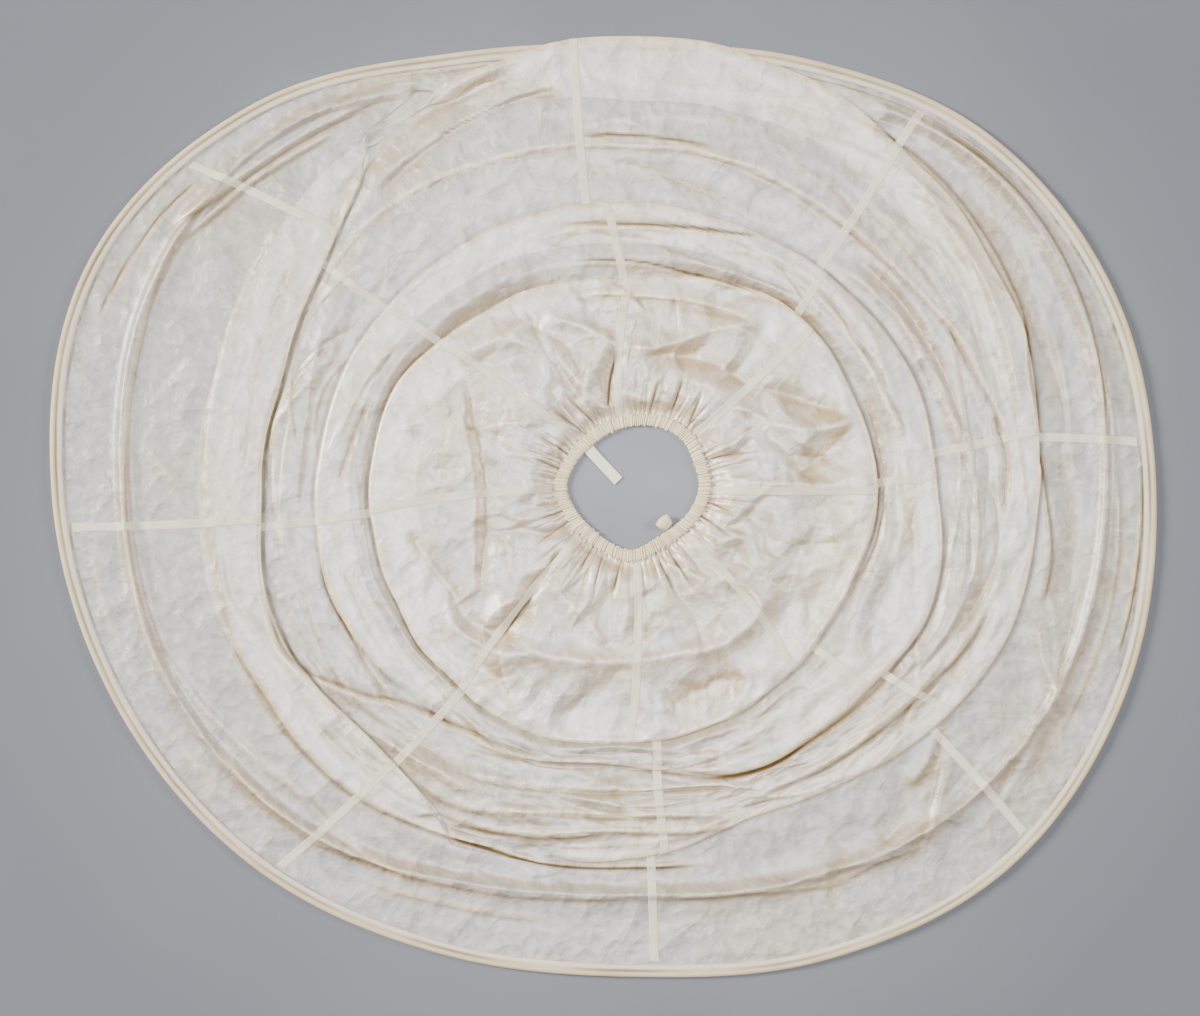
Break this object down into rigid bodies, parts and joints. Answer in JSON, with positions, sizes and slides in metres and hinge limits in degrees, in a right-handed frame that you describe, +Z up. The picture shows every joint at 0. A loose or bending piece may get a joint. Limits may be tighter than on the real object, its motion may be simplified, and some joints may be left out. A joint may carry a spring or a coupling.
{
  "type": "folded silk parachute canopy",
  "caption": "Round sheer silk parachute canopy let down flat, its gores doubled back in uneven ring folds around a gathered vent, with taped seams and a bound rim.",
  "frame": {"origin": "on the floor at the middle of the canopy's outline", "axes": "+X along the longer width of the canopy, +Y across it on the floor, +Z up"},
  "size_m": [1.326, 1.128, 0.0272],
  "materials": {
    "silk": "sheer plain weave",
    "tape": "woven cotton tape",
    "tie": "yellowed woven tape"
  },
  "bodies": {
    "root": {"gore_1": "silk", "gore_2": "silk", "gore_3": "silk", "gore_4": "silk", "gore_5": "silk", "gore_6": "silk", "gore_7": "silk", "gore_8": "silk", "seam_tape_1": "tape", "seam_tape_2": "tape", "seam_tape_3": "tape", "seam_tape_4": "tape", "seam_tape_5": "tape", "seam_tape_6": "tape", "seam_tape_7": "tape", "seam_tape_8": "tape", "rim_binding": "tape", "vent_band": "tape", "tape_tab": "tape", "draw_tie": "tie"}
  },
  "joints": []
}
